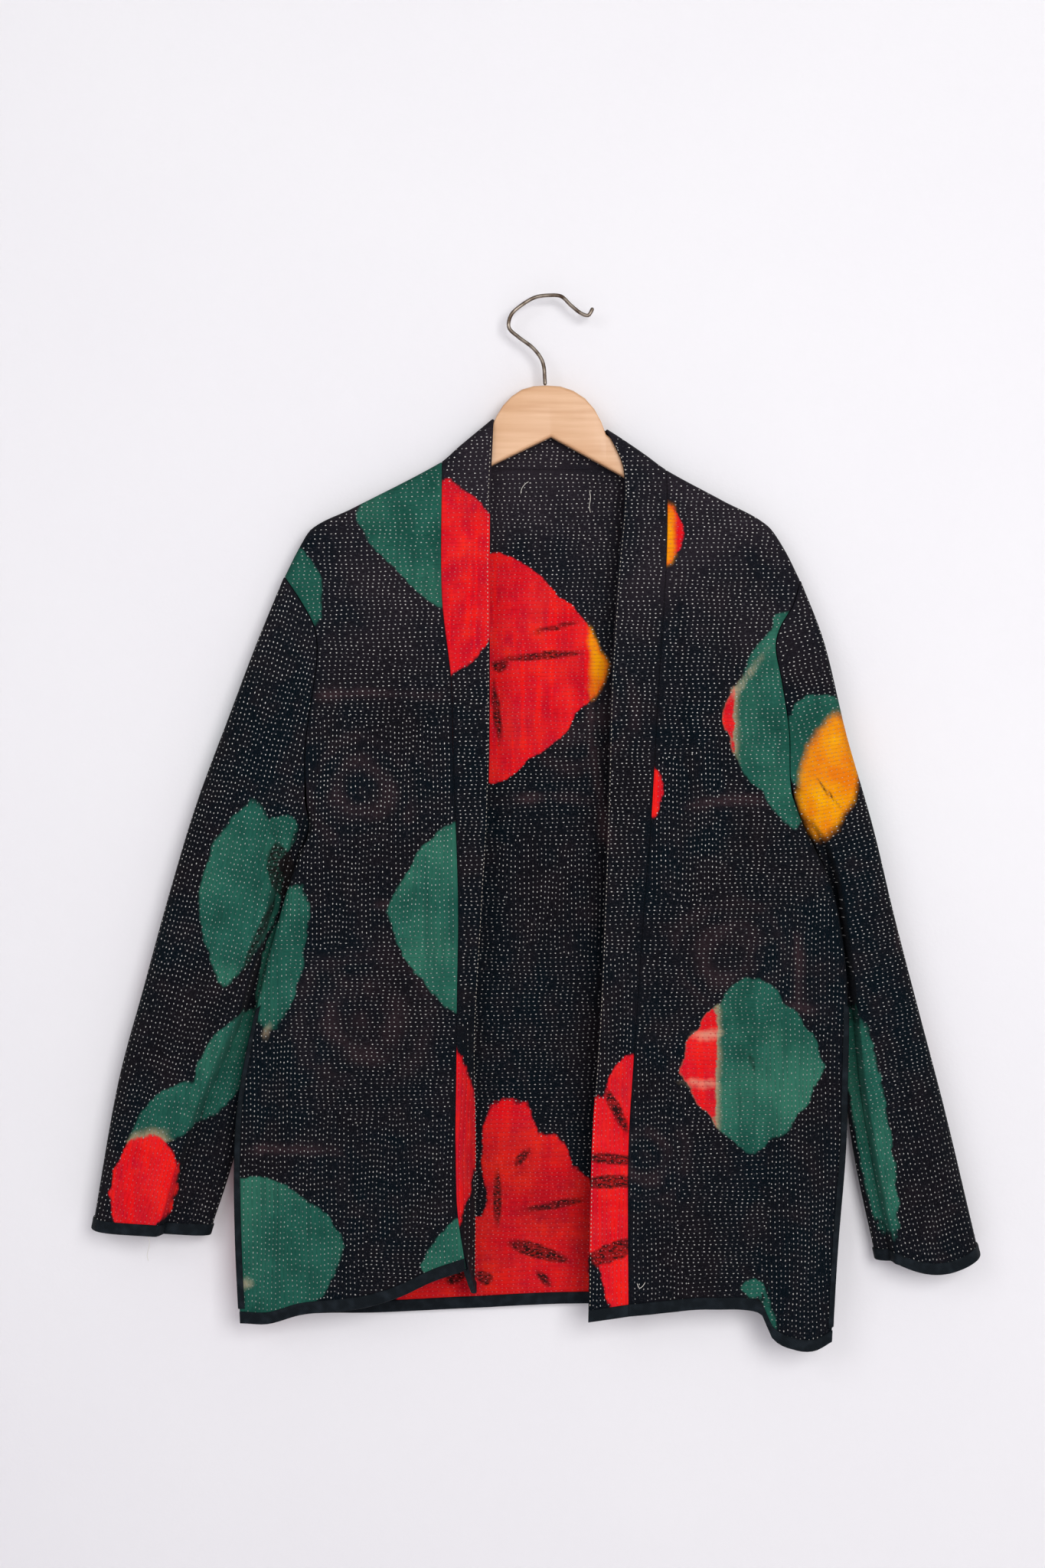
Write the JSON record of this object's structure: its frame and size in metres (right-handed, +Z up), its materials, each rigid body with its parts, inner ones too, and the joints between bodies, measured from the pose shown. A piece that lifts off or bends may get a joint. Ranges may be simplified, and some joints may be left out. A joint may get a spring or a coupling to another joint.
{
  "type": "kantha jacket on hanger",
  "caption": "Open-front kantha jacket with a wide neckband, long sleeves, side vents and black bound edges, hanging on a flat wooden hanger with a wire hook",
  "frame": {"origin": "inner top of the hook, where a rod or a nail carries the hanger", "axes": "+X to the viewer's right along the shoulders, +Y from the fronts to the back and on to the wall, +Z up"},
  "size_m": [0.7605, 0.0488, 0.898],
  "materials": {
    "cloth": "quilted printed cotton, matte, covered in running stitch",
    "binding": "plain black cotton binding",
    "wood": "pale lacquered wood",
    "wire": "darkened brassy wire"
  },
  "bodies": {
    "root": {"hanger_board": "wood", "hanger_hook": "wire", "front_left": "cloth", "front_right": "cloth", "back": "cloth", "band_left": "cloth", "band_right": "cloth", "band_neck": "cloth", "sleeve_left": "cloth", "sleeve_right": "cloth", "hem_front_left": "binding", "hem_front_right": "binding", "hem_band_left": "binding", "hem_band_right": "binding", "hem_back": "binding", "vent_front_left": "binding", "vent_front_right": "binding", "vent_back_left": "binding", "vent_back_right": "binding", "cuff_left": "binding", "cuff_right": "binding"}
  },
  "joints": []
}
